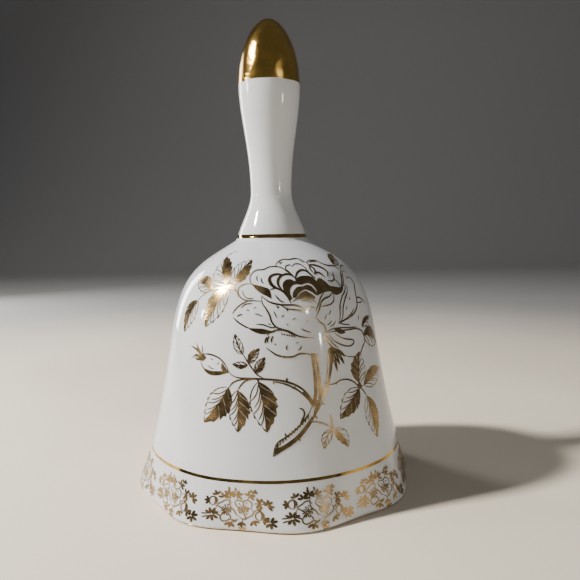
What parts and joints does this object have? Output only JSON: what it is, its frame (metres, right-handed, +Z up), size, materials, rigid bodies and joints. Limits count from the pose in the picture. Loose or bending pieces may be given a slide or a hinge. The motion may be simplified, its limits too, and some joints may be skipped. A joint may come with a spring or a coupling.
{
  "type": "table bell",
  "caption": "Hand bell in glazed porcelain with a scalloped rim, a waisted hollow handle with a gilded tip, and a bead clapper hung on a fine brass chain.",
  "frame": {"origin": "centre of the circle that the rim stands on", "axes": "+Z up along the bell's axis to the tip of the handle, -Y towards the decorated front"},
  "size_m": [0.084, 0.084, 0.14],
  "materials": {
    "porcelain": "glossy white glaze",
    "bright_gold": "fired-on bright gold, mirror gloss",
    "cement": "matt",
    "brass_wire": "drawn wire, slightly dulled"
  },
  "bodies": {
    "bell": {"bell_body": "porcelain", "handle": "porcelain", "finial_gilding": "bright_gold", "crown_plug": "cement", "hanger_eye": "brass_wire"},
    "link_1": {"chain_link_1": "brass_wire"},
    "link_2": {"chain_link_2": "brass_wire"},
    "link_3": {"chain_link_3": "brass_wire"},
    "link_4": {"chain_link_4": "brass_wire"},
    "link_5": {"chain_link_5": "brass_wire"},
    "clapper": {"clapper_pin": "brass_wire"},
    "bead": {"clapper_bead": "porcelain"}
  },
  "joints": [
    {"name": "link_1_swing", "type": "hinge", "parent": "bell", "child": "link_1", "pos_m": [0, 0, 0.0653], "axis": [1, 0, 0], "range_deg": [-30, 30]},
    {"name": "link_2_swing", "type": "hinge", "parent": "link_1", "child": "link_2", "pos_m": [0, 0, 0.0606], "axis": [0, 1, 0], "range_deg": [-33, 33]},
    {"name": "link_3_swing", "type": "hinge", "parent": "link_2", "child": "link_3", "pos_m": [0, 0, 0.0559], "axis": [-1, 0, 0], "range_deg": [-38, 38]},
    {"name": "link_4_swing", "type": "hinge", "parent": "link_3", "child": "link_4", "pos_m": [0, 0, 0.0512], "axis": [0, -1, 0], "range_deg": [-42, 42]},
    {"name": "link_5_swing", "type": "hinge", "parent": "link_4", "child": "link_5", "pos_m": [0, 0, 0.0465], "axis": [1, 0, 0], "range_deg": [-40, 40]},
    {"name": "clapper_swing", "type": "hinge", "parent": "link_5", "child": "clapper", "pos_m": [0, 0, 0.0418], "axis": [0, 1, 0], "range_deg": [-45, 45]},
    {"name": "bead_spin", "type": "hinge", "parent": "clapper", "child": "bead", "pos_m": [0, 0, 0.0232], "axis": [0, 0, 1], "continuous": true}
  ]
}
